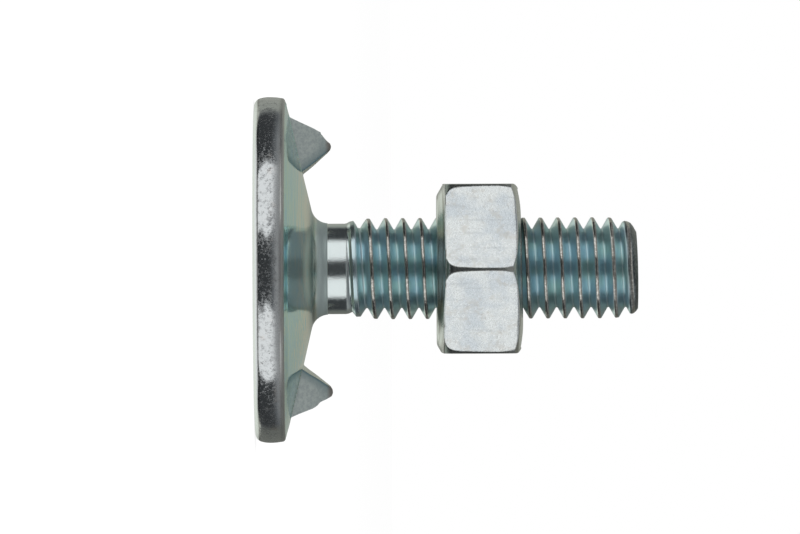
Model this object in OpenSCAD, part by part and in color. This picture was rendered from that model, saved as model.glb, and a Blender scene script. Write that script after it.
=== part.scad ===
// Elevator bolt: a flat plate head with two fangs, a short neck and a rolled
// M6 thread, with a hex nut run part of the way down it.
// It stands on its head: the flat face lies on z = 0 and the tip points up.

/* [Head] */
// Diameter of the plate head where its rim bulges most
head_d = 20.1; // [17:0.1:28]
// Height at which the rim meets the cone
rim_h = 1.83; // [1.2:0.01:3]
// How far the rim's side bulges
rim_crown = 0.06; // [0:0.01:0.15]
// Radius of the rounded edge at the flat face
face_round = 0.5; // [0.1:0.05:0.55]
// Radius of the rounded edge at the underside
under_round = 0.2; // [0.05:0.05:0.5]
// Slope of the cone under the head, in degrees from the flat face
cone_slope = 13.25; // [8:0.25:18]
// Radius of the fillet between the cone and the neck
neck_fillet = 1; // [0.6:0.1:1.6]

/* [Fangs] */
// Distance from the head's edge in to a fang's tip
fang_inset = 2.9; // [2.5:0.05:3.2]
// Height of a fang's tip above the cone under it
fang_h = 2.05; // [1.4:0.05:2.6]
// How far a fang's outer foot lies beyond its tip
fang_out = 1.45; // [1.3:0.05:2]
// How far a fang's inner foot lies inside its tip
fang_in = 1.65; // [1:0.05:2]
// How far the shoulder lies beyond the tip
shoulder_out = 0.75; // [0.6:0.05:1]
// How far the shoulder lies below the tip
shoulder_drop = 0.7; // [0.4:0.02:0.8]
// Width of the step from the shoulder to the slope of the tip
step_w = 0.3; // [0.05:0.05:0.3]
// Radius of the blunt tip
tip_round = 0.2; // [0.1:0.05:0.25]
// Width of a fang at its foot, across the head
fang_w = 3; // [2:0.1:4]
// Width of a fang at its tip
tip_w = 0.5; // [0.2:0.05:1]

/* [Shank] */
// Length of the bolt, from the flat face to the end of the thread
bolt_l = 22.3; // [20:0.1:60]
// Diameter of the plain neck
neck_d = 5.26; // [4.9:0.02:5.4]
// Length of the plain neck above its fillet
neck_l = 0.9; // [0.3:0.1:1.5]
// Length over which the thread rises out of the neck
run_out = 1.5; // [0.8:0.1:2]
// Length of the rounded end
end_h = 1.9; // [1:0.1:2.5]
// Radius of the end face
end_r = 2.1; // [1.2:0.1:2.2]

/* [Thread] */
// Pitch of the thread
pitch = 1; // [0.9:0.05:1.2]
// Diameter over the crests
crest_d = 5.88; // [5.8:0.02:6]
// Diameter at the bottom of the grooves
root_d = 4.58; // [4.5:0.02:4.8]
// Width of the rounded crest
crest_w = 0.16; // [0.1:0.02:0.16]
// Height by which crests and roots are rounded
crest_round = 0.03; // [0.01:0.01:0.05]
// Height of the first crest above the neck, on the side of the +X axis
crest_lead = 0.8; // [0:0.02:1]

/* [Nut] */
// Size across the flats
nut_af = 9.8; // [9.4:0.1:13]
// Height of the nut
nut_h = 4.9; // [3:0.05:8]
// Height of the nut's near side above the flat face of the head
nut_z = 10.55; // [8:0.05:12]
// Turn of the nut from having a corner on the -Y side, in degrees
nut_turn = 1; // [-30:1:30]
// Diameter of the flat on the side towards the head
near_flat_d = 8.6; // [8:0.1:9]
// Diameter of the flat on the side towards the tip
far_flat_d = 8.4; // [8:0.1:9.3]
// Slope of the chamfer on the side towards the head, in degrees
near_chamfer = 30; // [15:1:35]
// Slope of the chamfer on the side towards the tip, in degrees
far_chamfer = 20; // [15:1:35]
// Lean of the far side out of square, in degrees
far_lean = 1; // [0:0.25:1.5]
// Diameter over the crests of the nut's thread
nut_minor_d = 4.96; // [4.9:0.02:5.1]
// Gap between the flanks of the nut's thread and the bolt's
flank_gap = 0.05; // [0.04:0.01:0.08]
// Gap over the bolt's crests, inside the nut
crest_gap = 0.08; // [0.06:0.01:0.1]
// Diameter of the countersink at each end of the nut's thread
sink_d = 6.5; // [6.3:0.1:6.8]

/* [Hidden] */
$fn = 96;
bolt_steel = [0.70, 0.76, 0.78];
nut_steel = [0.84, 0.86, 0.88];
// Facets round one turn of the thread
facets = 36;
// Half the angle between the flanks of a thread
half_angle = 30;
// Half the angle of the countersinks
sink_half = 60;
// Length by which solids that meet overlap, and by which a cut runs past its end
lap = 0.05;
overrun = 6 * lap;
// A row of points closer than this to the end of a thread is moved onto the end
near_end = 0.6 * lap;

head_r = head_d / 2;
rim_r = head_r - rim_crown;
neck_r = neck_d / 2;
crest_r = crest_d / 2;
root_r = root_d / 2;
fang_r = head_r - fang_inset;

// Height of the cone's surface at radius r
function cone_z(r) = rim_h + (rim_r - under_round - r) * tan(cone_slope);

// Centre of the fillet's circle, which dips a little into the cone, and the height where the
// neck ends
fillet_r = neck_r + neck_fillet;
fillet_z = cone_z(fillet_r) + neck_fillet / cos(cone_slope) - 0.1 * lap;
neck_top = fillet_z + neck_l;
crest_z = neck_top + lap + crest_lead;

// One closed solid whose surface has radius radius_at(u, z), where u is the distance along the
// axis from the crest below and z is the height. Its points follow the helix: column i stands
// at the angle 360 i / facets and holds the breaks of the profile for every turn, so the last
// column joins the first one turn further up. Heights are held between lo and hi.
module helical_solid(lo, hi, breaks, radius_at) {
    count = len(breaks);
    start = crest_z + pitch * (floor((lo - crest_z) / pitch) - 1);
    turns = ceil((hi - start) / pitch) + 1;
    rows = turns * count;
    function free_z(i, j) = start + pitch * (i / facets + floor(j / count)) + breaks[j % count];
    function held(z) = z < lo + near_end ? lo : z > hi - near_end ? hi : z;
    function past_crest(i, z) =
        let (turns_up = (z - crest_z) / pitch - i / facets)
        pitch * (turns_up - floor(turns_up));
    function at(i, j) = i < facets ? i * rows + j : j + count;
    points = [for (i = [0 : facets - 1], j = [0 : rows - 1])
        let (z = held(free_z(i, j)), r = radius_at(past_crest(i, z), z), a = 360 * i / facets)
        [r * cos(a), r * sin(a), z]];
    sides = [for (i = [0 : facets - 1], j = [0 : rows - 2 - (i == facets - 1 ? count : 0)])
        each [[at(i, j), at(i, j + 1), at(i + 1, j + 1)],
            [at(i, j), at(i + 1, j + 1), at(i + 1, j)]]];
    // Rows that were held at one end lie on each other, and their triangles are left out
    whole = [for (f = sides)
        if (points[f[0]] != points[f[1]] && points[f[1]] != points[f[2]] && points[f[2]] != points[f[0]])
            f];
    bottom = [for (i = [0 : facets - 1]) at(i, 0)];
    top = [for (i = [facets - 1 : -1 : 0]) at(i, rows - 1)];
    polyhedron(points, concat(whole, [bottom, top]));
}

// Length of a flank along the axis
flank_run = (crest_r - root_r - 2 * crest_round) * tan(half_angle);

// Radius of the bolt's full thread at distance u past a crest
function bolt_profile(u) = lookup(min(u, pitch - u), [
    [0, crest_r], [crest_w / 2, crest_r - crest_round],
    [crest_w / 2 + flank_run, root_r + crest_round], [pitch / 2, root_r]]);

// Share of its full depth that the thread has at height z, rising smoothly out of the neck
function depth_share(z) =
    let (s = min(max((z - neck_top) / run_out, 0), 1))
    s * s * (3 - 2 * s);

// Radius that the rounded end leaves at height z, a quarter of an ellipse
function end_limit(z) =
    let (s = max(z - (bolt_l - end_h), 0) / end_h)
    end_r + (crest_r - end_r) * sqrt(max(1 - s * s, 0));

// The thread, rolled into a blank a little thinner than the neck
module bolt_thread() {
    blank_r = neck_r - 0.4 * lap;
    crest_end = crest_w / 2;
    root_start = crest_end + flank_run;
    helical_solid(neck_top, bolt_l,
        [0, crest_end, root_start, pitch / 2, pitch - root_start, pitch - crest_end],
        function (u, z) min(blank_r + (bolt_profile(u) - blank_r) * depth_share(z), end_limit(z)));
}

// Half outline of the head, its cone and the neck
module head_outline() {
    foot = [fillet_r - neck_fillet * sin(cone_slope), fillet_z - neck_fillet * cos(cone_slope)];
    side_h = (rim_h - under_round - face_round) / 2;
    rim_side = [for (t = [-1 : 0.25 : 1]) [head_r - rim_crown * t * t, face_round + side_h * (1 + t)]];
    polygon(concat([[0, 0], [rim_r - face_round, 0]], rim_side,
        [[rim_r - under_round, rim_h], [neck_r, cone_z(neck_r)], [neck_r, neck_top + lap],
        [0, neck_top + lap]]));
    translate([rim_r - face_round, face_round]) circle(face_round);
    translate([rim_r - under_round, rim_h - under_round]) circle(under_round);
    difference() {
        polygon([foot, [foot[0], foot[1] - lap], [neck_r - lap, cone_z(neck_r) - lap],
            [neck_r - lap, fillet_z], [neck_r, fillet_z]]);
        translate([fillet_r, fillet_z]) circle(neck_fillet);
    }
}

// One fang on the +X side: its side outline, narrowed by its front outline
module fang() {
    tip_z = cone_z(fang_r) + fang_h;
    out_r = fang_r + fang_out;
    in_r = fang_r - fang_in;
    shoulder_r = fang_r + shoulder_out;
    shoulder_z = tip_z - shoulder_drop;
    sunk = overrun;
    intersection() {
        rotate([90, 0, 0]) linear_extrude(fang_w, center = true) {
            polygon([[in_r, cone_z(in_r) - sunk], [out_r, cone_z(out_r) - sunk],
                [out_r, cone_z(out_r)], [shoulder_r, shoulder_z],
                [shoulder_r - step_w, shoulder_z + step_w / 2],
                [fang_r + tip_round, tip_z - tip_round], [fang_r - tip_round, tip_z - tip_round],
                [in_r, cone_z(in_r)]]);
            translate([fang_r, tip_z - tip_round]) circle(tip_round);
        }
        rotate([90, 0, 90]) linear_extrude(head_r)
            polygon([[-fang_w / 2, cone_z(out_r) - sunk], [fang_w / 2, cone_z(out_r) - sunk],
                [fang_w / 2, cone_z(out_r)], [tip_w / 2, tip_z],
                [-tip_w / 2, tip_z], [-fang_w / 2, cone_z(out_r)]]);
    }
}

module bolt() {
    color(bolt_steel) union() {
        rotate_extrude() head_outline();
        for (turn = [0, 180]) rotate([0, 0, turn]) fang();
        bolt_thread();
    }
}

// Half the width of the groove in the nut, at radius r
function groove(r) =
    crest_w / 2 + (crest_r - crest_round - r) * tan(half_angle) + flank_gap / cos(half_angle);

// The space that the nut's thread leaves for the bolt's
module tap() {
    tap_r = crest_r + crest_gap;
    minor_r = nut_minor_d / 2;
    top_w = groove(tap_r);
    foot_w = groove(minor_r);
    helical_solid(nut_z - overrun, nut_z + nut_h + overrun,
        [top_w, foot_w, pitch - foot_w, pitch - top_w],
        function (u, z) lookup(min(u, pitch - u), [[top_w, tap_r], [foot_w, minor_r]]));
}

// The countersink at one end of the nut's thread, its mouth on z = 0 and facing down
module countersink() {
    inner_r = nut_minor_d / 2 - lap;
    outer_r = sink_d / 2 + overrun;
    translate([0, 0, -overrun / tan(sink_half)])
        cylinder(h = (outer_r - inner_r) / tan(sink_half), r1 = outer_r, r2 = inner_r);
}

// A turned blank whose flat end lies on z = 0, chamfered at the given slope outside a circle
// of diameter flat_d
module chamfered(flat_d, slope, h) {
    corner_r = nut_af / sqrt(3) + overrun;
    rotate_extrude()
        polygon([[0, 0], [flat_d / 2, 0], [corner_r, (corner_r - flat_d / 2) * tan(slope)],
            [corner_r, h], [0, h]]);
}

module nut() {
    blank_h = nut_h + 2 * overrun;
    color(nut_steel) difference() {
        intersection() {
            translate([0, 0, nut_z - overrun]) rotate([0, 0, 30 + nut_turn])
                cylinder(h = blank_h, d = nut_af / cos(30), $fn = 6);
            translate([0, 0, nut_z]) chamfered(near_flat_d, near_chamfer, blank_h);
            translate([0, 0, nut_z + nut_h]) rotate([0, 180 - far_lean, 0])
                chamfered(far_flat_d, far_chamfer, blank_h);
        }
        tap();
        translate([0, 0, nut_z]) countersink();
        translate([0, 0, nut_z + nut_h]) mirror([0, 0, 1]) countersink();
    }
}

bolt();
nut();
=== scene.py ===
import math

import bpy
import numpy as np
from mathutils import Matrix, Vector


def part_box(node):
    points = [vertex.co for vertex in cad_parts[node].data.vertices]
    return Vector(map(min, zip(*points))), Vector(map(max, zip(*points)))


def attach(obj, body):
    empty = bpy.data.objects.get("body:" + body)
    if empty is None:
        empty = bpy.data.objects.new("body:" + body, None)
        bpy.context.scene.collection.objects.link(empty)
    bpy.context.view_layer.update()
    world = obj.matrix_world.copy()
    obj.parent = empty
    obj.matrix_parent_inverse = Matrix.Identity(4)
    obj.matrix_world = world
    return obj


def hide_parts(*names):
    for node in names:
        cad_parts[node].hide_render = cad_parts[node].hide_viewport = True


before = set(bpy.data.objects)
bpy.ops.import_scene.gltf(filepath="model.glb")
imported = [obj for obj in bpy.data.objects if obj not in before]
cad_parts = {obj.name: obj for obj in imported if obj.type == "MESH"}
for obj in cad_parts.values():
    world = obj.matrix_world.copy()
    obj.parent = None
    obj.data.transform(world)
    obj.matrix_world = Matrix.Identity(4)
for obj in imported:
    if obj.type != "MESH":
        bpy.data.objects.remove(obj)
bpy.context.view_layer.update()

mm = 0.001  # every size below is in millimetres and becomes metres where a mesh is made
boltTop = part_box("bolt")[1][2] / mm
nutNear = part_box("nut")[0][2] / mm  # height of the nut's face on the head side

thread = {
    "pitch": 1.0,
    "crestRadius": 2.945,
    "rootRadius": 2.285,
    "crestHeight": 7.06,  # height of one crest on the +X side
    "outerFlat": 0.15,  # width of a crest
    "outerBlend": 0.06,  # how far crests and roots are rounded into the flanks
    "innerBlend": 0.05,
    "halfAngle": 30,  # degrees between a flank and the plane across the axis
    "sway": 0.035,  # of the helix, as a pair of flat dies leaves it
}


def smoothStep(value, low, high):
    # t = (value - low) / (high - low) held to 0..1, then t * t * (3 - 2 t)
    t = np.clip((value - low) / (high - low), 0, 1)
    return t * t * (3 - 2 * t)


def smoothMin(a, b, blend):
    # the smaller of a and b, rounded where they come within blend of each other
    share = np.clip(0.5 + 0.5 * (b - a) / blend, 0, 1)
    return b + (a - b) * share - blend * share * (1 - share)


def smoothMax(a, b, blend):
    return -smoothMin(-a, -b, blend)


def ripple(points, size, seed, count=14):
    # sum of sines along random directions, about -1..1, with features of the given size
    random = np.random.default_rng(seed)
    directions = random.normal(size=(count, points.shape[-1]))
    directions /= np.linalg.norm(directions, axis=1)[:, None]
    waves = directions * (2 * np.pi / (size * random.uniform(0.7, 1.6, count)))[:, None]
    return np.sin(points @ waves.T + random.uniform(0, 2 * np.pi, count)).sum(-1) / math.sqrt(2 * count)


def softened(value, places, results, softness, count):
    # straight lines through (place, result), averaged over a few values each side
    steps = np.linspace(-softness, softness, count)
    return sum(np.interp(value + step, places, results) for step in steps) / count


def turnMark(angle):
    # 3 cos a + 3 sin a, which patterns that follow the turning use
    return 3 * np.cos(angle) + 3 * np.sin(angle)


def around(radius, angle, height):
    # x = r cos a, y = r sin a, z
    return np.stack([radius * np.cos(angle), radius * np.sin(angle), height + 0 * radius], -1)


def addObject(name, data):
    made = bpy.data.objects.new(name, data)
    bpy.context.scene.collection.objects.link(made)
    return made


# A closed piece from a grid of points: rows along the outline, columns round the axis.
# Points that fall on each other, at the seam, the poles and the held ends, become one.
def gridPiece(name, body, points, attributes, material):
    rows, columns = points.shape[:2]
    index = np.arange(rows * columns).reshape(rows, columns)
    a, b, c, d = index[:-1, :-1], index[:-1, 1:], index[1:, 1:], index[1:, :-1]
    triangles = np.concatenate([np.stack([a, b, c], -1), np.stack([a, c, d], -1)]).reshape(-1, 3)
    flat = points.reshape(-1, 3)
    # in steps of 0.00001 mm, shifted so that no round number lies between two of them
    keys = np.round(flat * 1e5 + 0.37).astype(np.int64)
    _, first, back = np.unique(keys, axis=0, return_index=True, return_inverse=True)
    triangles = back.reshape(-1)[triangles]
    # only the ones whose three corners are apart
    triangles = triangles[(np.diff(np.sort(triangles, axis=1), axis=1) > 0).all(1)]
    mesh = bpy.data.meshes.new(name)
    mesh.vertices.add(len(first))
    mesh.vertices.foreach_set("co", (flat[first] * mm).astype(np.float32).ravel())
    mesh.loops.add(triangles.size)
    mesh.loops.foreach_set("vertex_index", triangles.astype(np.int32).ravel())
    mesh.polygons.add(len(triangles))
    mesh.polygons.foreach_set("loop_start", np.arange(0, triangles.size, 3, dtype=np.int32))
    mesh.polygons.foreach_set("use_smooth", np.ones(len(triangles), bool))
    for key, values in attributes.items():
        spread = np.broadcast_to(values, (rows, columns)).reshape(-1)[first]
        mesh.attributes.new(key, "FLOAT", "POINT").data.foreach_set("value", spread.astype(np.float32))
    mesh.update(calc_edges=True)
    mesh.materials.append(material)
    piece = addObject(name, mesh)
    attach(piece, body)
    print("made", name, "with", len(triangles), "triangles")
    return piece


# A socket that Python's operators can be used on: each adds a Math node.
class Term:
    def __init__(self, shader, socket):
        self.shader, self.socket = shader, socket

    def __add__(self, other):
        return self.shader.math("ADD", self, other)

    def __sub__(self, other):
        return self.shader.math("SUBTRACT", self, other)

    def __rsub__(self, other):
        return self.shader.math("SUBTRACT", other, self)

    def __mul__(self, other):
        return self.shader.math("MULTIPLY", self, other)

    __radd__, __rmul__ = __add__, __mul__


# The nodes of one material or world, made from the values of its look.
class Shader:
    def __init__(self, owner, look):
        self.owner, self.look = owner, look
        owner.use_nodes = True
        self.tree = owner.node_tree
        self.tree.nodes.clear()

    # a node of a type, with its settings, then the values or links of its sockets
    def node(self, kind, settings=None, sockets=None, output=0):
        made = self.tree.nodes.new("ShaderNode" + kind)
        for key, value in (settings or {}).items():
            setattr(made, key, value)
        for key, value in (sockets or {}).items():
            if isinstance(value, Term):
                self.tree.links.new(value.socket, made.inputs[key])
            else:
                made.inputs[key].default_value = value
        if isinstance(output, tuple):
            return [Term(self, made.outputs[name]) for name in output]
        return Term(self, made.outputs[output]) if len(made.outputs) else None

    def math(self, operation, a, b=0.0):
        return self.node("Math", {"operation": operation}, {0: a, 1: b})

    # 0 below low, 1 above high, smooth between
    def ramp(self, value, low, high):
        return self.node("MapRange", {"interpolation_type": "SMOOTHSTEP"},
                         {"Value": value, "From Min": low, "From Max": high})

    def attributes(self, names):
        return [self.node("Attribute", {"attribute_name": name}, output="Fac") for name in names.split()]

    # noise for each name, from the look's size in millimetres, detail and roughness
    def patterns(self, names, vector=None):
        made, vector = [], vector or self.node("TexCoord", output="Object")
        for size, detail, roughness in (self.look[name] for name in names.split()):
            made.append(self.node("TexNoise", None, {
                "Vector": vector, "Scale": 1 / (size * mm), "Detail": detail, "Roughness": roughness}))
        return made

    # noise over two values, in place of a point in space
    def streaks(self, name, x, y):
        place = self.node("CombineXYZ", None, {"X": x, "Y": y})
        sockets = dict(zip(("Scale", "Detail", "Roughness", "Distortion"), self.look[name]))
        return self.node("TexNoise", None, {"Vector": place, **sockets})

    # the look's tints, one after the other as the value rises
    def tinted(self, value):
        made = self.node("ValToRGB", None, {"Fac": value})
        elements, tints = made.socket.node.color_ramp.elements, self.look["tints"]
        while len(elements) < len(tints):
            elements.new(0.5)
        for element, (place, name) in zip(elements, tints):
            element.position, element.color = place, self.look[name]
        return made

    # a ramp between the look's two values of that name
    def mark(self, name, value):
        return self.ramp(value, *self.look["edges"][name])

    def blend(self, factor, a, b):
        return self.node("Mix", {"data_type": "RGBA"}, {0: factor, 6: a, 7: b}, 2)

    # the first colour, with each of the others laid over it by its share; a name is the look's
    def layered(self, first, *layers):
        result = self.look[first] if isinstance(first, str) else first
        for share, over in layers:
            result = self.blend(share, result, self.look[over] if isinstance(over, str) else over)
        return result

    # the first roughness, plus each share of the difference between the two that it names
    def moved(self, first, *steps):
        values = self.look["roughness"]
        result = values[first]
        for share, name, under in steps:
            result = result + share * (values[name] - values[under])
        return result

    # whether a reflection looks, and whether the eye does, straight or through something
    def rays(self):
        eye, glossy, through = self.node("LightPath", None, None,
                                         ("Is Camera Ray", "Is Glossy Ray", "Is Transmission Ray"))
        return glossy, self.math("MAXIMUM", eye, through)

    # each bump adds its height, times the look's depth of that name in millimetres
    def metal(self, colour, roughness, **bumps):
        normal = {}
        for name, height in bumps.items():
            depth = self.look[name + "Depth"] * mm
            normal = {"Normal": self.node("Bump", None, {
                "Height": height, "Distance": depth, "Strength": 1.0, **normal})}
        surface = self.node("BsdfPrincipled", None, {
            "Base Color": colour, "Metallic": 1.0, "Roughness": roughness, **normal})
        self.node("OutputMaterial", None, {"Surface": surface})
        return self.owner


def rgb(red, green, blue):
    return (red, green, blue, 1)


headFinish = {
    # a painted highlight: lighter on the rounding round the flat face, for the bright floor that it
    # reflects
    "paintedHighlightColour": rgb(0.80, 0.84, 0.84),
    "rimColour": rgb(0.64, 0.67, 0.68),
    "rimShade": rgb(0.32, 0.33, 0.34),
    "rimStain": rgb(0.66, 0.60, 0.55),
    # painted reflection: a thin dark line round the flat face
    "paintedDarkLineColour": rgb(0.16, 0.16, 0.15),
    "browColour": rgb(0.42, 0.42, 0.39),
    "coneGreen": rgb(0.66, 0.91, 0.80),
    "coneBlue": rgb(0.50, 0.81, 0.95),
    "coneBeige": rgb(0.92, 0.92, 0.75),
    "creaseShadeColour": rgb(0.15, 0.23, 0.24),  # of a ring of painted shade in the crease where the cone meets the fillet, which is also rougher there
    "filletColour": rgb(0.60, 0.70, 0.69),
    "fangColour": rgb(0.77, 0.85, 0.82),
    "fangShade": rgb(0.62, 0.70, 0.69),
    "fangPaintedShade": rgb(0.36, 0.47, 0.48),  # painted shade where its face turns towards the axis
    "fangInner": rgb(0.98, 1.0, 0.92),
    "fangEdge": rgb(0.20, 0.34, 0.40),
    "tipColour": rgb(0.34, 0.29, 0.26),
    # the rounding round the flat face, painted lighter as a highlight, has its own key, and neckward is the
    # cone towards the neck
    "roughness": {
        "rim": 0.10, "brow": 0.38, "pale": 0.38, "cone": 0.09, "foot": 0.20, "fillet": 0.42,
        "fang": 0.45, "inner": 0.55, "neckward": 0.15,
    },
    "pitRoughness": 0.36,  # added in the pits of the rim
    "speckleRoughness": 0.06,  # and by the speckle
    "speckleDepth": 0.011,
    "grainBump": 0.13,  # shares of that depth, on the rim, the fangs, the fillet and everywhere
    "fangBump": 0.9,
    "filletBump": 0.6,
    "allBump": 0.08,
    # how strongly a mark shows where it is full
    "shares": {"foot": 0.80, "shade": 0.75, "stain": 0.4, "brow": 0.7, "dusk": 0.85, "edge": 0.8},
    # patterns: size in millimetres, detail and roughness
    "speckle": (0.10, 2.0, 0.7),
    "mottle": (0.22, 3.0, 0.7),
    "blotch": (0.45, 4.0, 0.65),
    "cloud": (1.6, 2.0, 0.55),
    "drift": (2.2, 2.0, 0.55),
    # values of a pattern between which a mark comes in
    "edges": {
        "pit": (0.47, 0.62), "shade": (0.46, 0.68), "stain": (0.56, 0.70), "patch": (0.44, 0.56),
        "frost": (0.35, 0.65), "neckward": (0.55, 0.95),
    },
    # faint rings on the cone: their noise, number from rim to neck and breaks on the way
    # round, how much they and a slow drift move the tint, and the tints from rim to neck
    "rings": (1.5, 7.0, 0.75, 0.2),
    "ringCount": 16.0,
    "ringBreaks": 0.9,
    "ringStrength": 4.8,
    "driftStrength": 0.6,
    "tints": [(0.02, "coneGreen"), (0.20, "coneBlue"), (0.46, "coneGreen"), (0.86, "coneBeige")],
}


def makeHeadFinish():
    look, shares = headFinish, headFinish["shares"]
    shader = Shader(bpy.data.materials.new("zincOnHead"), look)
    rim, grain, brow, pale, seam = shader.attributes("rim grain brow pale seam")
    fang, inner, edge, dusk, tip = shader.attributes("fang inner edge dusk tip")
    turn, inward, foot, fillet = shader.attributes("turn inward foot fillet")
    speckle, mottle, blotch, cloud, drift = shader.patterns("speckle mottle blotch cloud drift")
    rings = shader.streaks("rings", turn * look["ringBreaks"], inward * look["ringCount"])
    tint = inward + (rings - 0.5) * look["ringStrength"] + (drift - 0.5) * look["driftStrength"]
    # the cone's tints, with painted shade in the crease at its foot, and the fillet's colour
    cone = shader.layered(
        shader.tinted(tint), (foot * shares["foot"], "creaseShadeColour"), (fillet, "filletColour"))
    pits = shader.mark("pit", blotch * 0.2 + speckle * 0.35 + mottle * 0.45) * grain
    shade = shader.mark("shade", blotch * 0.45 + mottle * 0.55)
    stains = shader.mark("stain", cloud) * shader.mark("patch", blotch)
    # over the rim's colour: random darker mottle, a painted highlight round the flat face, stains, a
    # painted dark reflection line and the brow's colour
    rimColour = shader.layered(
        "rimColour", (shade * (grain * shares["shade"] + 0.1), "rimShade"), (pale, "paintedHighlightColour"),
        (stains * shares["stain"] * grain, "rimStain"), (seam * (mottle + 0.35), "paintedDarkLineColour"),
        (brow * shares["brow"], "browColour"))
    # the fang's colour: random frost, painted shade where its face turns towards the axis, the inner face,
    # the dark edge and the worn tip
    fangColour = shader.layered(
        "fangColour", (shader.mark("frost", mottle), "fangShade"),
        (dusk * shares["dusk"], "fangPaintedShade"), (inner, "fangInner"),
        (edge * shares["edge"], "fangEdge"), (tip * (1.4 - blotch), "tipColour"))
    colour = shader.layered(cone, (rim, rimColour), (fang, fangColour))
    roughness = shader.moved(
        "cone", (rim, "rim", "cone"), (brow, "brow", "rim"), (pale, "pale", "rim"),
        (fillet, "fillet", "cone"), (foot * (1 - fillet), "foot", "cone"),
        (shader.mark("neckward", inward) * (1 - foot), "neckward", "cone"),
        (fang, "fang", "cone"), (inner, "inner", "fang"))
    roughness = roughness + pits * look["pitRoughness"] + (speckle - 0.5) * look["speckleRoughness"]
    depth = (grain * look["grainBump"] + fang * look["fangBump"]
             + fillet * look["filletBump"] + look["allBump"])
    return shader.metal(colour, roughness, speckle=speckle * depth)


shankFinish = {
    "neckColour": rgb(0.70, 0.77, 0.77),
    "flankColour": rgb(0.53, 0.70, 0.76),
    "greenColour": rgb(0.55, 0.72, 0.72),
    "crestColour": rgb(0.40, 0.39, 0.36),
    "crestShine": rgb(0.72, 0.70, 0.66),
    "endColour": rgb(0.13, 0.15, 0.155),
    "roughness": {"neck": 0.075, "flank": 0.31, "crest": 0.14},
    "stain": (1.5, 3.0, 0.55),
    "speckle": (0.14, 3.0, 0.7),
    "fine": (0.07, 2.0, 0.7),
    "edges": {"stain": (0.40, 0.62), "shine": (0.47, 0.62), "end": (0.46, 0.62)},
    "endShare": 0.22,
    "crestSpeckle": 0.12,  # how much the speckle changes the roughness there
    "neckSpeckle": 0.18,
    "fineDepth": 0.002,
    "neckFine": 2.5,  # shares of that depth on the neck, and everywhere
    "allFine": 0.3,
    "speckleDepth": 0.014,
    "crestBump": 0.3,  # and of that one
    "neckBump": 0.22,
    "allBump": 0.03,
}


def makeShankFinish():
    look = shankFinish
    shader = Shader(bpy.data.materials.new("zincOnShank"), look)
    crest, neck, end = shader.attributes("crest neck end")
    stain, speckle, fine = shader.patterns("stain speckle fine")
    worn = shader.layered("crestColour", (shader.mark("shine", speckle), "crestShine"))
    endColour = shader.layered(
        "endColour", (shader.mark("end", speckle) * look["endShare"], "neckColour"))
    colour = shader.layered(
        "flankColour", (shader.mark("stain", stain), "greenColour"), (neck, "neckColour"),
        (crest, worn), (end * (1 - crest), endColour))
    roughness = (shader.moved("flank", (neck, "neck", "flank"), (crest, "crest", "flank"))
                 + (speckle - 0.5) * (crest * look["crestSpeckle"] + neck * look["neckSpeckle"]))
    fineShare = neck * look["neckFine"] + look["allFine"]
    depth = crest * look["crestBump"] + neck * look["neckBump"] + look["allBump"]
    return shader.metal(colour, roughness, fine=fine * fineShare, speckle=speckle * depth)


nutFinish = {
    "flatColour": rgb(0.82, 0.86, 0.86),
    "coolColour": rgb(0.67, 0.73, 0.77),
    "warmColour": rgb(0.72, 0.69, 0.62),
    "scratchColour": rgb(0.55, 0.59, 0.61),  # of faint marks along the flats
    "edgeColour": rgb(0.58, 0.60, 0.56),
    "nearPaintedShadeColour": rgb(0.51, 0.55, 0.54),  # painted shade on the chamfer on the head side, fading up the sides
    "nearStreak": rgb(0.20, 0.20, 0.18),  # of the tool marks round it
    "cornerPaintedShadeColour": rgb(0.14, 0.17, 0.16),  # darker painted shade where a blunted edge runs into it
    "roughness": {"flat": 0.30, "edge": 0.17, "corner": 0.24},
    "cloud": (2.0, 3.0, 0.6),
    "speckle": (0.15, 3.0, 0.75),
    "fine": (0.08, 2.0, 0.7),
    "spots": (0.8, 5.0, 0.75),
    "scratches": (0.22, 3.0, 0.6),
    "scratchDraw": 0.08,  # width of a scratch over its length
    "edges": {"cloud": (0.40, 0.62), "spot": (0.50, 0.66), "scratch": (0.54, 0.70), "streak": (0.47, 0.60)},
    "streaks": (1.0, 4.0, 0.6, 0.4),  # of the tool marks on the chamfer
    "streakCount": 3.5,  # for each millimetre outwards
    "streakBreaks": 0.25,  # how often one breaks on its way round
    "shares": {"cloud": 0.9, "spot": 0.45, "scratch": 0.45, "streak": 0.85},
    "speckleRoughness": 0.24,
    "spotRoughness": 0.05,
    "fineDepth": 0.005,
    "speckleDepth": 0.012,
    "flatBump": 0.7,  # shares of that depth on the flats, and everywhere
    "allBump": 0.3,
}


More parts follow.
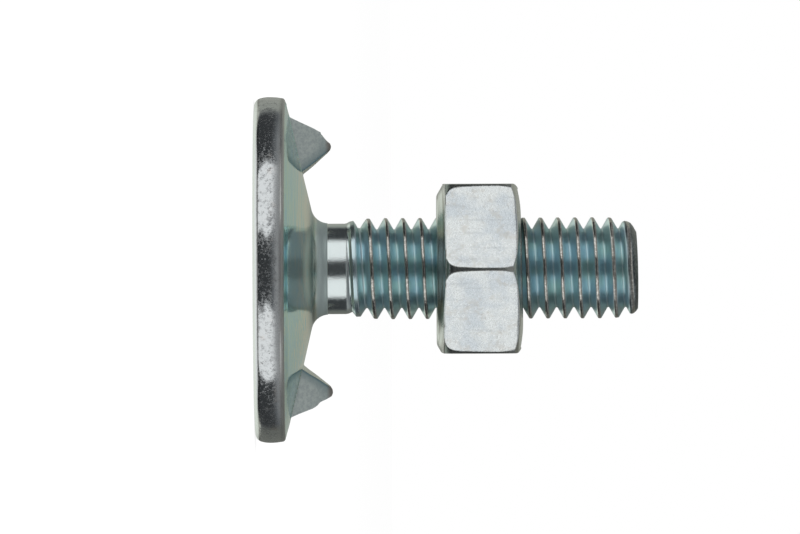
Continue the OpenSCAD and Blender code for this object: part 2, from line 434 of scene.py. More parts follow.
def makeNutFinish():
    look, shares = nutFinish, nutFinish["shares"]
    shader = Shader(bpy.data.materials.new("zincOnNut"), look)
    place = shader.node("TexCoord", output="Object")
    drawn = shader.node("VectorMath", {"operation": "MULTIPLY"},
                        {0: place, 1: (1, 1, look["scratchDraw"])})
    flat, near, corner, reach, turn = shader.attributes("flat near corner reach turn")
    speckle, fine, cloud, spots = shader.patterns("speckle fine cloud spots")
    cloud, spots = shader.mark("cloud", cloud), shader.mark("spot", spots)
    scratches = shader.mark("scratch", shader.patterns("scratches", drawn)[0])
    streak = shader.streaks("streaks", reach * look["streakCount"], turn * look["streakBreaks"])
    # painted shade on the chamfer on the head side, with tool marks over it
    streaked = shader.layered(
        "nearPaintedShadeColour", (shader.mark("streak", streak) * shares["streak"], "nearStreak"))
    # darker painted shade where a blunted edge meets that chamfer
    edge = shader.layered("edgeColour", (near, streaked), (near * corner, "cornerPaintedShadeColour"))
    colour = shader.layered(
        "flatColour", (cloud * shares["cloud"], "coolColour"),
        (spots * shares["spot"], "warmColour"),
        (scratches * shares["scratch"], "scratchColour"), (1 - flat, edge))
    roughness = (shader.moved("edge", (flat, "flat", "edge"), (corner, "corner", "edge"))
                 + (speckle - 0.5) * look["speckleRoughness"]
                 + (spots - 0.5) * look["spotRoughness"])
    depth = flat * look["flatBump"] + look["allBump"]
    return shader.metal(colour, roughness, fine=fine, speckle=speckle * depth)


head = {
    "crownRadius": 10.05,
    "crownHeight": 0.88,  # where the rim is widest
    "crownLow": 0.25,  # how fast the rim closes in below that, in mm for the first mm
    "crownHigh": 0.13,  # and above it
    "faceRounding": 0.50,
    "underRounding": 0.2,
    "underDrop": 0.85,  # how far under the edge that one starts, as a share of it
    "liftRadius": 8.9,  # from there outwards the cone rises to meet it
    "edgeHeight": 1.78,  # where cone and rim would meet without the rounding
    "coneSlope": 13.2,
    "thicker": 0.025,  # how much thicker the rim is on the -X side, and thinner on the other
    "neckRadius": 2.628,
    "filletRadius": 1.0,
    "filletGap": 0.03,  # the fillet stops that far outside the neck, in a small crease
    "neckStart": 4.22,
    "capInset": 0.02,  # the closing face inside the neck goes that far in and up
    "capRise": 0.025,
    "offCentre": 0.045,  # of the head from the shank, towards +X
    "columnStep": 1.6,  # degrees between columns away from the fangs
    "fangStep": 0.33,
    "fangZone": 17,  # degrees each side of a fang that have the finer columns
    # points along each part of the outline
    "steps": {"face": 14, "rounding": 26, "rim": 18, "under": 11, "outer": 6, "inner": 14, "fillet": 18},
    "rowStep": 0.032,  # between the rows of the cone that the fangs stand on
    "fangRows": (8.98, 8.95, 5.12, 5.10),  # radii where those rows start and stop
    "fangArea": (4.2, 2.4),  # a fang starts outside that radius and is less than that wide
    "fangBlend": 0.12,
    "fangRise": (0.004, 0.028),  # height over the cone where its finish comes in
    "thickerRise": (0.9, 1.6),  # heights on the rim, and radii on the cone, between
    "thickerRadii": (5, 9),  # which the difference in thickness comes in
    "offCentreRadii": (3.6, 6),
    "ripple": 0.0005,  # of the rim, as a share of its radius, and its size
    "rippleSize": 2.5,
    # heights between which each finish comes in or goes out
    # where the painted highlight round the flat face fades out
    "paintedHighlightEnd": (0.17, 0.26),
    "grainStart": (0.20, 0.32),
    "grainFade": (1.25, 1.45),
    "browStart": (1.38, 1.66),
    "filletStart": (3.45, 3.68),
    "seam": (0.27, 0.05),  # height and width of the painted dark line round the flat face, a painted reflection
    "foot": (3.36, 0.20),  # and of the ring of painted shade in the crease before the fillet, which is also rougher
}

# Outlines are (radius, height) as seen from the side, from the foot that faces the axis to the
# outer one, and turns are in degrees.
fangs = [
    {"side": 1, "halfWidth": 1.50, "tipHalf": 0.24, "bow": 0.05, "turn": 6, "outline": [
        (5.60, 2.95), (5.75, 3.12), (6.10, 3.57), (6.63, 4.21), (6.80, 4.40), (6.98, 4.50), (7.15, 4.52),
        (7.33, 4.45), (7.50, 4.15), (7.67, 3.78), (7.86, 3.63), (8.02, 3.40), (8.37, 2.50), (8.54, 2.12)]},
    {"side": -1, "halfWidth": 1.45, "tipHalf": 0.24, "bow": 0.03, "turn": -4, "outline": [
        (5.58, 2.89), (5.75, 3.10), (6.10, 3.50), (6.62, 4.05), (6.79, 4.24), (6.97, 4.39), (7.14, 4.445),
        (7.31, 4.39), (7.47, 4.19), (7.66, 4.03), (7.79, 3.94), (7.88, 3.84), (7.96, 3.86), (8.02, 3.73),
        (8.19, 3.44), (8.54, 2.68), (8.72, 2.30), (8.84, 2.06)]},
]


def rimRadius(height):
    # crown - k (z - crownHeight)^2, with one k below the crown and another above
    rise = height - head["crownHeight"]
    return head["crownRadius"] - np.where(rise < 0, head["crownLow"], head["crownHigh"]) * rise ** 2


def coneHeight(radius):
    slope = math.tan(math.radians(head["coneSlope"]))
    return head["edgeHeight"] + (rimRadius(head["edgeHeight"]) - radius) * slope


# Half outline of the head as radii, heights and a mark for each zone: flat face, arc, crowned
# rim, arc, straight cone, fillet arc, and a face hidden in the neck that closes it.
def headOutline():
    slope = math.radians(head["coneSlope"])
    rounding, under = head["faceRounding"], head["underRounding"]
    lean = math.atan(2 * head["crownLow"] * (head["crownHeight"] - rounding))
    joinHeight = rounding * (1 - math.sin(lean))
    centre = rimRadius(joinHeight) - rounding * math.cos(lean)
    steps = head["steps"]
    turn = np.linspace(0, np.pi / 2 - lean, steps["rounding"])
    shoulder = head["edgeHeight"] - under * head["underDrop"]
    fallBack = math.atan(2 * head["crownHigh"] * (shoulder - head["crownHeight"]))
    underCentre = rimRadius(shoulder) - under * math.cos(fallBack)
    underHeight = shoulder - under * math.sin(fallBack)
    over = np.linspace(fallBack, np.pi / 2 - slope, steps["under"])[1:]
    rimHeights = np.linspace(joinHeight, shoulder, steps["rim"])[1:]
    fillet = head["filletRadius"]
    filletCentre = head["neckRadius"] + head["filletGap"] + fillet
    filletHeight = coneHeight(filletCentre) + fillet / math.cos(slope)
    foot = filletCentre - fillet * math.sin(slope)
    bend = np.linspace(slope, math.acos((filletHeight - head["neckStart"]) / fillet), steps["fillet"])
    coneStart = (underCentre + under * math.cos(np.pi / 2 - slope), underHeight + under * math.cos(slope))
    before, first, last, after = head["fangRows"]
    cone = np.concatenate([np.linspace(coneStart[0], before, steps["outer"])[1:],
                           np.arange(first, last, -head["rowStep"]),
                           np.linspace(after, foot, steps["inner"])[:-1]])
    lift = (coneStart[1] - coneHeight(coneStart[0])) * smoothStep(cone, head["liftRadius"], coneStart[0])
    face = np.linspace(0, centre, steps["face"])[:-1]
    capRadii = (head["neckRadius"] - head["capInset"]) * np.linspace(1, 0, 6)
    parts = [
        ("face", face, 0 * face),
        ("rim", centre + rounding * np.sin(turn), rounding - rounding * np.cos(turn)),
        ("rim", rimRadius(rimHeights), rimHeights),
        ("brow", underCentre + under * np.cos(over), underHeight + under * np.sin(over)),
        ("cone", cone, coneHeight(cone) + lift),
        ("fillet", filletCentre - fillet * np.sin(bend), filletHeight - fillet * np.cos(bend)),
        ("cap", capRadii, head["neckStart"] + head["capRise"] + 0 * capRadii),
    ]
    zones = {name: np.concatenate([np.full(len(part[1]), float(part[0] == name)) for part in parts])
             for name in ("rim", "brow", "cone", "fillet")}
    _, radii, heights = zip(*parts)
    return np.concatenate(radii), np.concatenate(heights), zones


# How far the outline and the edges are rounded, and where the marks lie: by how far the sides
# are above the outline (Sides), how far from the tip towards the axis (Out), and below it.
fangShape = {
    "soften": 0.03,
    "blend": 0.05,
    "innerSides": (-0.02, 0.06),
    "edgeSides": (0.05, 0.10),
    "edgeOut": (-0.1, 0.1),
    # where the painted shade on the face lies
    "paintedShadeSides": (-1.1, 0.0),
    "paintedShadeOut": (-0.6, 0.4),
    "tipDrops": (0.42, 0.08),
}


# Height of one fang over the point (x, y), x pointing out from the axis through its tip, and
# its marks: the face towards the axis, the edge of that face, the painted shade beside it and the tip.
# Its outline p(x) is met by two planes that fall away each side of the middle, with small
# rounds between: h = smoothMin(p(x), top + slope * (tipHalf - |y|)).
def fangHeight(x, y, fang):
    outline = np.array(fang["outline"])
    peak = outline[outline[:, 1].argmax()]
    turn = math.radians(fang["turn"])
    out = (x - peak[0]) * math.cos(turn) + y * math.sin(turn)
    across = y * math.cos(turn) - (x - peak[0]) * math.sin(turn)
    fall = (peak[1] - coneHeight(peak[0])) / (fang["halfWidth"] - fang["tipHalf"])
    # half the width at each height, turned, is what the outline in the middle lies behind it
    half = fang["tipHalf"] + (peak[1] - outline[:, 1]) / fall
    outline[:, 0] -= (half - fang["tipHalf"]) * abs(math.tan(turn)) * np.sign(outline[:, 0] - peak[0])
    ends = [outline[0] - 2 * (outline[1] - outline[0]), outline[-1] + (outline[-1] - outline[-2])]
    outline = np.concatenate([ends[:1], outline, ends[1:]])
    bowed = out - fang["bow"] * across ** 2 * (out < 0)
    side = softened(peak[0] + bowed, outline[:, 0], outline[:, 1], fangShape["soften"], 5)
    planes = peak[1] + fall * (fang["tipHalf"] - np.abs(across))
    height = smoothMin(side, planes, fangShape["blend"])
    below, width = fangShape["edgeSides"]
    low, high = (peak[1] - drop for drop in fangShape["tipDrops"])
    over = planes - side
    return height, {
        "fang": 1,
        "inner": smoothStep(over, *fangShape["innerSides"]) * (out < 0),
        "edge": np.exp(-((over + below) / width) ** 2) * smoothStep(-out, *fangShape["edgeOut"]),
        # painted shade, darker towards where the face turns to the axis
        "dusk": smoothStep(over, *fangShape["paintedShadeSides"]) * smoothStep(-out, *fangShape["paintedShadeOut"]),
        "tip": smoothStep(height, low, high)}


def makeHead(material):
    half = np.concatenate([np.arange(-head["fangZone"], head["fangZone"], head["fangStep"]),
                           np.arange(head["fangZone"], 180 - head["fangZone"], head["columnStep"])])
    angle = np.radians(np.concatenate([half, half + 180, [360 - head["fangZone"]]]))[None, :]
    radii, heights, zones = headOutline()
    radius, height = radii[:, None] + 0 * angle, heights[:, None] + 0 * angle
    start, wide = head["fangArea"]
    onCone = (zones["cone"][:, None] > 0) & (radius > start)
    x, y = radius * np.cos(angle), radius * np.sin(angle)
    marks = {}
    for fang in fangs:
        here = onCone & (fang["side"] * x > start) & (np.abs(y) < wide)
        raised, fangMarks = fangHeight(fang["side"] * x, fang["side"] * y, fang)
        rise = np.where(here, smoothMax(height, raised, head["fangBlend"]) - height, 0)
        onFang = smoothStep(rise, *head["fangRise"])
        for name, mark in fangMarks.items():
            marks[name] = np.maximum(marks.get(name, 0), onFang * mark)
        height = height + rise
    points = around(radius, angle, height)
    lift = (zones["rim"] * smoothStep(heights, *head["thickerRise"]) + zones["brow"]
            + zones["cone"] * smoothStep(radii, *head["thickerRadii"]))
    points[..., 2] -= head["thicker"] * lift[:, None] * np.cos(angle)
    waves = 1 + ripple(points, head["rippleSize"], 11)
    points[..., :2] *= (1 - head["ripple"] * zones["rim"][:, None] * waves)[..., None]
    points[..., 0] += head["offCentre"] * smoothStep(radius, *head["offCentreRadii"])

    def ringAt(name):
        middle, width = head[name]
        return np.exp(-((heights - middle) / width) ** 2)

    grainy = smoothStep(heights, *head["grainStart"])
    along = {
        "rim": zones["rim"] + zones["brow"],
        "brow": zones["brow"] + zones["rim"] * smoothStep(heights, *head["browStart"]),
        "fillet": zones["fillet"] * smoothStep(heights, *head["filletStart"]),
        "grain": zones["rim"] * grainy * (1 - 0.75 * smoothStep(heights, *head["grainFade"])),
        # painted highlight on the rounding round the flat face
        "pale": zones["rim"] * (1 - smoothStep(heights, *head["paintedHighlightEnd"])),
        # painted reflection, a thin dark line round the flat face
        "seam": zones["rim"] * ringAt("seam"),
        # painted shade in the crease where the cone meets the fillet
        "foot": (zones["cone"] + zones["fillet"]) * ringAt("foot"),
        "inward": smoothStep(-radii, -10, -3),  # 0 at the rim, 1 at the neck
    }
    marks.update({name: mark[:, None] for name, mark in along.items()}, turn=turnMark(angle))
    return gridPiece("boltHead", "bolt", points, marks, material)


shank = {
    "start": 4.10,  # inside the fillet under the head
    # how much of the crest and of the root is formed, as (height, share)
    "crestRise": [(5.15, 0), (5.30, 0.09), (5.62, 0.50), (6.15, 0.50), (6.48, 0.93), (7.04, 0.92),
                  (7.4, 1)],
    "rootFall": [(5.40, 0), (5.72, 0.46), (6.14, 0.83), (6.50, 1)],
    "riseSoft": 0.12,  # how far these are averaged
    "earlyFlat": 0.35,  # how much wider the half-formed crest is, on the head side
    "runOutShift": 0.13,  # how far the last, half-formed turn is pushed towards the tip
    "endRadius": 2.2,  # where the domed end face begins
    "dome": 0.06,
    "endLean": 0.018,  # the end face rises that much for each millimetre towards +X
    "cutLean": 0.055,  # and the rounding round it that much
    "turnSteps": 200,
    # rows from a crest to the next root, as shares of the pitch
    "rowPlaces": [0, .03, .06, .085, .115, .13, .24, .36, .40, .42, .44, .47],
    "crestWear": 0.012,
    "wearSize": 0.5,
    "crestBand": (0.05, 0.015),  # depths under a crest between which its finish comes in
    "formedDepth": 0.08,  # a thread shallower than that fades into the neck
    # radius that the rolled end leaves, as (drop below the tip, radius)
    "endProfile": [(1.80, 2.97), (1.25, 2.88), (0.90, 2.75), (0.55, 2.70), (0.43, 2.65),
                   (0.31, 2.56), (0.21, 2.44), (0.14, 2.30), (0.0, 2.05)],
    "endSoft": 0.04,
    "endBlend": 0.05,
    "endBand": 0.03,  # how sharply its finish comes in
    # heights between which the neck's finish and the shift end, and the crests' starts
    "neckEnd": (5.35, 5.95),
    "shiftEnd": (5.4, 6.4),
    "crestStart": (5.8, 6.4),
}


# Radius of a thread at a distance past its outer flat, along the axis: two flanks,
# r = outer + (flat / 2 - d) / tan(half angle), with d the distance to the nearest outer flat's
# middle, held between the outer and the inner radius with rounded corners.
def threadProfile(past, outer, inner, shape, widened=0.0):
    near = np.minimum(past % thread["pitch"], -past % thread["pitch"] - widened)
    flank = outer + (shape["outerFlat"] / 2 - near) / math.tan(math.radians(thread["halfAngle"]))
    held = smoothMin(flank, outer + 0 * near, shape["outerBlend"])
    return smoothMax(held, inner + 0 * near, shape["innerBlend"])


def helixRise(angle):
    # pitch * a / (2 pi) - sway * cos a
    return thread["pitch"] * angle / (2 * np.pi) - thread["sway"] * np.cos(angle)


def makeShank(material):
    pitch, start = thread["pitch"], shank["start"]
    places = np.array(shank["rowPlaces"])
    breaks = np.concatenate([places, [0.5], 1 - places[:0:-1]])
    first = thread["crestHeight"] - pitch * math.ceil((thread["crestHeight"] - start) / pitch + 1.5)
    turns = math.ceil((boltTop - first) / pitch) + 2
    lattice = (first + pitch * (np.arange(turns)[:, None] + breaks[None, :])).reshape(-1, 1)
    angle = np.linspace(0, 2 * np.pi, shank["turnSteps"] + 1)[None, :]
    edge = boltTop - shank["dome"] - shank["endLean"] * shank["endRadius"] * (1 - np.cos(angle))
    height = np.clip(lattice + helixRise(angle), start, edge)
    shift = shank["runOutShift"] * (1 - smoothStep(height, *shank["shiftEnd"]))
    past = height - shift - thread["crestHeight"] - helixRise(angle)
    neckRadius = head["neckRadius"]
    crestShare, rootShare = (softened(height, *zip(*shank[name]), shank["riseSoft"], 7)
                             for name in ("crestRise", "rootFall"))
    crestRadius = neckRadius + (thread["crestRadius"] - neckRadius) * crestShare
    rootRadius = neckRadius + (thread["rootRadius"] - neckRadius) * rootShare
    widened = shank["earlyFlat"] * (1 - crestShare)
    radius = threadProfile(past, crestRadius, rootRadius, thread, widened)
    formed = smoothStep(crestRadius - rootRadius, 0.0, shank["formedDepth"])
    radius = neckRadius + (radius - neckRadius) * formed
    low, high = (crestRadius - depth for depth in shank["crestBand"])
    crestMark = smoothStep(radius, low, high) * smoothStep(height, *shank["crestStart"])
    wear = ripple(around(radius, angle, height), shank["wearSize"], 5)
    radius = radius - shank["crestWear"] * crestMark * (0.5 + 0.5 * wear)
    drops, limits = zip(*shank["endProfile"])
    leaned = height - shank["cutLean"] * shank["endRadius"] * np.cos(angle)
    limit = softened(leaned, boltTop - np.array(drops), limits, shank["endSoft"], 5)
    cut = smoothStep(radius - limit, -shank["endBand"], shank["endBand"])
    radius = smoothMin(radius, limit, shank["endBlend"])
    neckMark = 1 - smoothStep(height, *shank["neckEnd"])
    ends = np.linspace(1, 0, 12)[1:, None] + 0 * angle
    lean = shank["endLean"] * radius[-1:] * np.cos(angle)
    level = boltTop - shank["dome"] - shank["endLean"] * shank["endRadius"]
    capRadius, capHeight = ends * radius[-1:], level + lean * ends + shank["dome"] * (1 - ends ** 2)
    footRadius = np.linspace(0, 1, 4)[:-1, None] * radius[:1]

    def rows(foot, wall, cap):
        return np.concatenate([footRadius * 0 + foot, wall, capRadius * 0 + cap])

    points = around(np.concatenate([footRadius, radius, capRadius]), angle, rows(start, height, capHeight))
    return gridPiece("boltShank", "bolt", points, {
        "crest": rows(0, crestMark, 0), "end": rows(0, cut, 1), "neck": rows(1, neckMark, 0)}, material)


nut = {
    "acrossFlats": 9.82,
    "turn": 0.6,  # degrees past having a corner on the -Y side
    "lean": 1.0,  # degrees that the far side is out of square
    "height": 4.95,
    "nearFlatRadius": 4.32,
    "nearShift": (0.10, 0.22),  # of the chamfer on the head side, along X and Y
    "nearCorner": (4.93, 0.50),  # outside that radius it rises by that much less for each mm
    "nearEnd": (5.32, 0.60),  # and outside that one by that much more
    "nearSlope": 30,
    "farSlope": 20,  # of the far chamfer where it meets a flat
    "farFlatRadius": 3.4,
    "farCurve": 0.116,  # drop one millimetre outside the far flat
    "farPower": 1.58,  # and the power of the distance that it grows with
    "farCorner": (5.25, 0.4),  # outside that radius it drops by that much more for each mm
    "nearRounding": 0.10,  # in the middle of a flat
    "farRounding": 0.10,
    "sideRounding": 0.20,  # added to the far one on the flats that face +X and -X
    "cornerRounding": 0.04,  # and at the corners
    "cornerFlat": 0.12,  # width of the blunted edge between two flats
    "cornerWide": [(0.28, 0.38), (0.80, 0.05)],  # how much wider on the head side, and how far up
    "cornerFar": (0.26, 0.09),  # and the same from the other side
    "cornerBlend": 0.03,
    "cornerSoft": 0.015,  # how sharply its finish comes in
    "cornerTurn": (8, 28),  # degrees past the middle of a flat between which the rounding changes
    "nearFade": (0.03, 0.13),  # how far up the side the chamfer's painted shade fades, as a share
    "nearBlend": 0.06,
    "kinkBlend": 0.05,
    "minorRadius": 2.48,
    "majorRadius": 3.0,
    "outerFlat": 0.18,  # width of the groove's bottom
    "outerBlend": 0.04,
    "innerBlend": 0.04,
    "sinkRadius": 3.25,
    "sinkAngle": 60,  # degrees between the countersink and the face
    "sinkBlend": 0.03,
    "flatColumns": 57,  # across a flat, closer towards its corners by that power
    "columnPower": 1.7,
    "sideRows": 34,  # up the side, closer on the head side by that power
    "rowPower": 1.8,
    "faceRows": 30,
    "boreRows": 111,
}


def pastFlat(angle):
    # degrees from the middle of the nearest flat, -30..30
    return (np.degrees(angle) - nut["turn"] + 30) % 60 - 30


# Hexagon with blunted corners: the smaller of a / cos(past) and c / cos(30 - |past|), where
# c = a / cos 30 - tan(30) / 2 * width is the distance of a blunted edge of that width.
def hexRadius(angle, width):
    past, apothem = np.radians(pastFlat(angle)), nut["acrossFlats"] / 2
    corner = apothem / math.cos(math.pi / 6) - math.tan(math.pi / 6) / 2 * width
    flat, blunt = apothem / np.cos(past), corner / np.cos(math.pi / 6 - np.abs(past))
    onCorner = smoothStep(flat - blunt, -nut["cornerSoft"], nut["cornerSoft"])
    return smoothMin(flat, blunt, nut["cornerBlend"]), onCorner


def roundedEdge(radius, height, before, after, rounding, steps=9):
    # curve c + k ((1 - t)^2 before + t^2 after), from one side of the edge to the other
    t = np.linspace(0, 1, steps)[:, None]
    return [corner[None, :] + rounding * ((1 - t) ** 2 * before[axis] + t ** 2 * after[axis])
            for axis, corner in enumerate((radius, height))]


def makeNut(material):
    step = np.linspace(-1, 1, nut["flatColumns"])[:-1]
    within = 30 * np.sign(step) * (1 - (1 - np.abs(step)) ** nut["columnPower"])
    degrees = np.concatenate([np.sort(within) + 60 * k + nut["turn"] for k in range(6)]
                             + [[330 + nut["turn"]]])
    angle = np.radians(degrees)
    tilt, farTilt = math.radians(nut["nearSlope"]), math.radians(nut["farSlope"])

    def cornerWidth(share):
        # each part of the extra width fades as exp(-share / reach) up the side
        wide, reach = nut["cornerFar"]
        extra = sum(wide * np.exp(-share / reach) for wide, reach in nut["cornerWide"])
        return nut["cornerFlat"] + extra + wide * np.exp((share - 1) / reach)

    lowOuter, highOuter = (hexRadius(angle, cornerWidth(share))[0] for share in (0, 1))

    def kink(radius, name):
        start, slope = nut[name]
        return smoothMax(0 * radius, (radius - start) * slope, nut["kinkBlend"])

    def nearZ(radius):
        shiftX, shiftY = nut["nearShift"]
        outside = radius - shiftX * np.cos(angle) - shiftY * np.sin(angle) - nut["nearFlatRadius"]
        less, more = (kink(radius, name) for name in ("nearCorner", "nearEnd"))
        return nutNear + smoothMax(0 * radius, outside * math.tan(tilt), nut["nearBlend"]) - less + more

    def farZ(radius):
        top = nutNear + nut["height"] + radius * np.cos(angle) * math.tan(math.radians(nut["lean"]))
        drop = nut["farCurve"] * np.clip(radius - nut["farFlatRadius"], 0, None) ** nut["farPower"]
        return top - drop - kink(radius, "farCorner")

    inner = nut["sinkRadius"]
    atCorner = smoothStep(np.abs(pastFlat(angle)), *nut["cornerTurn"])
    farMiddle = nut["farRounding"] + nut["sideRounding"] * np.abs(np.cos(angle)) ** 3
    nearRounding, farRounding = (middle + (nut["cornerRounding"] - middle) * atCorner
                                 for middle in (nut["nearRounding"], farMiddle))
    out = np.linspace(0, 1, nut["faceRows"])[:, None]
    nearR = inner + (lowOuter - nearRounding * math.cos(tilt) - inner)[None, :] * out
    farR = inner + (highOuter - farRounding * math.cos(farTilt) - inner)[None, :] * out[::-1]
    lowArc = roundedEdge(
        lowOuter, nearZ(lowOuter), (-math.cos(tilt), -math.sin(tilt)), (0, 1), nearRounding)
    highArc = roundedEdge(
        highOuter, farZ(highOuter), (0, -1), (-math.cos(farTilt), math.sin(farTilt)), farRounding)
    wall = np.linspace(0, 1, nut["sideRows"])[1:-1, None] ** nut["rowPower"]
    wallZ = lowArc[1][-1:] + (highArc[1][:1] - lowArc[1][-1:]) * wall
    wallR, onCorner = hexRadius(angle[None, :], cornerWidth(wall))
    sink = math.tan(math.radians(nut["sinkAngle"]))
    boreT = np.linspace(1, 0, nut["boreRows"])[1:-1, None]
    boreLow, boreHigh = nearZ(inner + 0 * angle)[None, :], farZ(inner + 0 * angle)[None, :]
    boreZ = boreLow + (boreHigh - boreLow) * boreT
    cone = inner - np.minimum(boreZ - boreLow, boreHigh - boreZ) * sink
    past = boreZ - thread["crestHeight"] - helixRise(angle[None, :])
    groove = threadProfile(past, nut["majorRadius"], nut["minorRadius"], nut)
    boreR = smoothMax(groove, cone, nut["sinkBlend"])
    radius = np.concatenate([nearR, lowArc[0][1:], wallR, highArc[0], farR[1:], boreR, nearR[:1]])
    height = np.concatenate([nearZ(nearR), lowArc[1][1:], wallZ, highArc[1], farZ(farR[1:]), boreZ,
                             nearZ(nearR[:1])])
    wallStart = len(nearR) + len(lowArc[0]) - 1
    wallEnd = wallStart + len(wallR)
    side = slice(wallStart, wallEnd)
    flat, corner = np.zeros_like(radius), np.zeros_like(radius)
    flat[side], corner[side] = 1 - onCorner, onCorner
    flat[wallStart - 1] = 1 - onCorner[0]
    flat[wallEnd:wallEnd + 5] = 1 - onCorner[-1:]
    # where the painted shade of the head side lies: all rows before the side, fading up it
    beforeWall = (np.arange(len(radius)) < wallStart).astype(float)[:, None]
    beforeWall[side] = 1 - smoothStep(wall, *nut["nearFade"])
    marks = {"flat": flat, "near": beforeWall, "corner": corner, "reach": radius, "turn": turnMark(angle)}
    return gridPiece("hexNut", "nut", around(radius, angle[None, :], height), marks, material)


# Turns are degrees round from the camera, towards +X, and rises are degrees above level.
# The edges are the two values between which one tone goes over into the next.
studio = {
    "boxTurns": [(-78, -21), (21, 79)],
    "boxSoft": 1.5,
    "boxDrawn": 6,  # how far the upright edges draw in, one boxReach from the middle
    "boxDrawnMost": 7.0,
    "boxOuter": 0.4,  # how much of that the outer edges do
    "boxMiddle": -5,
    "boxReach": 12,
    "boxLevel": 1.02,
    "darkLevel": 0.054,
    "upperLevel": 0.33,
    "sideLevel": 0.20,  # between the wall and the ceiling
    "gapLevel": 0.11,  # and there in the middle
    "ceilingLevel": 0.53,
    "topLevel": 0.10,  # straight overhead
    "backdropLevels": (0.37, 0.17),  # on the -X side and on the other
    "floorLevel": 0.97,
    "floorFall": 0.09,  # how much darker the floor is behind the bolt
    "floorEdge": (-52, -40),  # rise of its edge, in front and at the sides
    "floorSoft": 2,
    "backdropColour": rgb(0.97, 1.0, 0.90),
    "darkColour": rgb(0.90, 0.95, 1.0),
    "floorReach": 12.0,  # metres, as the next one
    "floorHeight": -2e-5,
    "floorColour": rgb(0.96, 0.96, 0.96),
    "floorGlow": 0.75,
    "lampPlace": (-0.3, -0.5, 0.9),
    "lampSize": 0.5,
    "lampPower": 5,
    "edges": {
        "upperRise": (2, 14), "sideRise": (17, 25), "gapRise": (17, 27), "gapTurn": (18, 40),
        "ceilingRise": (41, 53), "topRise": (63, 74), "boxLow": (-48, -44), "boxHigh": (3, 15),
        "wallRise": (-20, -9), "backTurn": (127, 137), "backdropStart": (100, 130),
        "backdropEnd": (170, 178), "floorEdgeTurn": (55, 95), "floorFallTurn": (95, 140),
        "darkEnd": (0.1, 0.4),
    },
}


# The room as the metal sees it: two soft boxes each side of the camera, a pale floor,
# a grey wall behind and a dark gap round the camera. To the eye it is plain white.
def makeWorld():
    look = studio
    world = bpy.data.worlds.new("studio")
    bpy.context.scene.world = world
    shader = Shader(world, look)
    direction = shader.node("TexCoord", output="Generated")
    x, y, z = shader.node("SeparateXYZ", None, {0: direction}, ("X", "Y", "Z"))
    turn = shader.math("ARCTAN2", x, y * -1) * (180 / math.pi)
    rise = shader.math("ARCSINE", z) * (180 / math.pi)
    aside = shader.math("ABSOLUTE", turn)
    mark = shader.mark

    def box(low, high):
        start, end = (shader.ramp(turn, at - look["boxSoft"], at + look["boxSoft"]) for at in (low, high))
        return start * (1 - end)

    # the boxes are octagons: their upright edges draw in above and below the middle
    away = (rise - look["boxMiddle"]) * (1 / look["boxReach"])
    drawn = shader.math("MINIMUM", away * away * look["boxDrawn"], look["boxDrawnMost"])
    (leftOuter, leftInner), (rightInner, rightOuter) = look["boxTurns"]
    left = box(drawn * look["boxOuter"] + leftOuter, leftInner - drawn)
    right = box(drawn + rightInner, rightOuter - drawn * look["boxOuter"])
    boxes = (left + right) * (mark("boxLow", rise) * (1 - mark("boxHigh", rise)))
    middle, back, wall = 1 - mark("gapTurn", aside), mark("backTurn", aside), mark("wallRise", rise)
    backLeft, backRight = look["backdropLevels"]
    backdrop = (mark("backdropStart", turn) * (backRight - backLeft)
                * (1 - mark("backdropEnd", turn)) + backLeft)
    floor = look["floorLevel"] - mark("floorFallTurn", aside) * look["floorFall"]
    front, sides = look["floorEdge"]
    overFloor = rise - (mark("floorEdgeTurn", aside) * (sides - front) + front)
    below = 1 - shader.ramp(overFloor, -look["floorSoft"], look["floorSoft"])
    # each tone covers the ones before it by the product of its shares
    covers = [(look[name + "Level"], mark(name + "Rise", rise), middle if name == "gap" else 1)
              for name in ("upper", "side", "gap", "ceiling", "top")]
    covers += [(look["boxLevel"], boxes), (backdrop, back, wall), (floor, back, 1 - wall), (floor, below)]
    level = look["darkLevel"]
    for over, *shares in covers:
        change = over - level
        for share in shares:
            change = change * share
        level = level + change
    glossy, seen = shader.rays()
    shown = glossy * (1 - seen)
    strength = seen + shown * level + (1 - glossy) * (1 - seen)
    dark = (1 - mark("darkEnd", level)) * shown
    tint = shader.blend(dark, rgb(1, 1, 1), look["darkColour"])
    tint = shader.blend(back * shown, tint, look["backdropColour"])
    background = shader.node("Background", None, {"Color": tint, "Strength": strength})
    shader.node("OutputWorld", None, {"Surface": background})


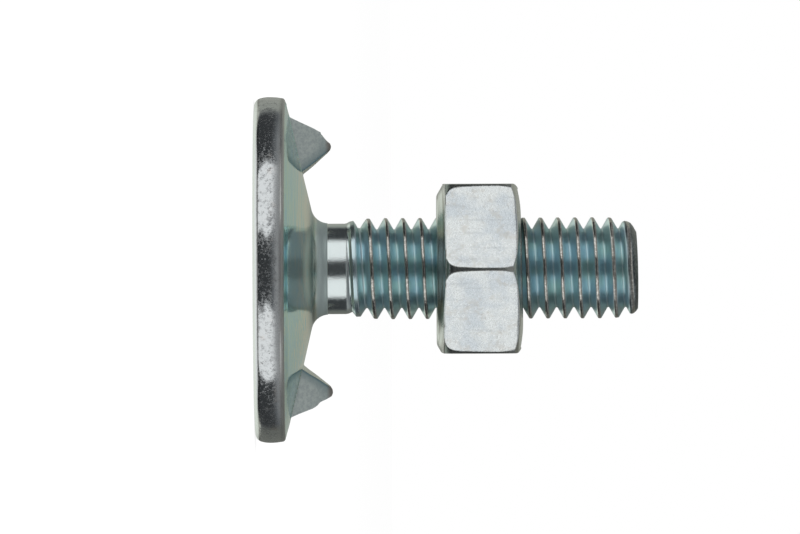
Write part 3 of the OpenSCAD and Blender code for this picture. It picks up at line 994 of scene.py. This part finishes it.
def makeFloor():
    look, reach = studio, studio["floorReach"]
    corners = [(x * reach, y * reach, look["floorHeight"])
               for x, y in ((-1, -1), (1, -1), (1, 1), (-1, 1))]
    mesh = bpy.data.meshes.new("floor")
    mesh.from_pydata(corners, [], [(0, 1, 2, 3)])
    floor = addObject("floor", mesh)
    shader = Shader(bpy.data.materials.new("paleFloor"), look)
    glossy, seen = shader.rays()
    seen = shader.math("MAXIMUM", glossy, seen)
    lit = shader.node("BsdfDiffuse", None, {"Color": look["floorColour"]})
    glow = shader.node("Emission", None, {"Color": rgb(1, 1, 1), "Strength": 1.0})
    surface = shader.node("MixShader", None, {0: seen * look["floorGlow"], 1: lit, 2: glow})
    shader.node("OutputMaterial", None, {"Surface": surface})
    mesh.materials.append(shader.owner)
    floor.visible_glossy = False  # the world already shows the metal a pale floor


def makeLamp():
    data = bpy.data.lights.new("overhead", "AREA")
    data.shape, data.size, data.energy = "DISK", studio["lampSize"], studio["lampPower"]
    lamp = addObject("overhead", data)
    lamp.location = studio["lampPlace"]
    lamp.rotation_euler = (-Vector(studio["lampPlace"])).to_track_quat("-Z", "Y").to_euler()
    lamp.visible_glossy = False


view = {
    "distance": 0.6,  # metres from the axis
    "width": 46.48,  # what the picture spans at the axis
    "centreHeight": 8.43,
    "centreSide": -0.08,
    "roll": 0.25,  # degrees
    "sensor": 36,
}


def makeCamera():
    data = bpy.data.cameras.new("camera")
    data.sensor_width = view["sensor"]
    data.lens = view["sensor"] * view["distance"] / (view["width"] * mm)
    data.clip_start, data.clip_end = 0.01, 10
    camera = addObject("camera", data)
    roll = math.radians(view["roll"])
    right = Vector((math.sin(roll), 0, math.cos(roll)))
    up = Vector((-math.cos(roll), 0, math.sin(roll)))
    back = right.cross(up)
    place = Vector((view["centreSide"] * mm, 0, view["centreHeight"] * mm)) + back * view["distance"]
    camera.matrix_world = Matrix.Translation(place) @ Matrix((right, up, back)).transposed().to_4x4()
    bpy.context.scene.camera = camera


bpy.context.scene.view_settings.view_transform = "Standard"
makeCamera()
makeWorld()
makeFloor()
makeLamp()
print("studio ready")

headPiece = makeHead(makeHeadFinish())
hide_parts("bolt")
shankPiece = makeShank(makeShankFinish())
nutPiece = makeNut(makeNutFinish())
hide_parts("nut")
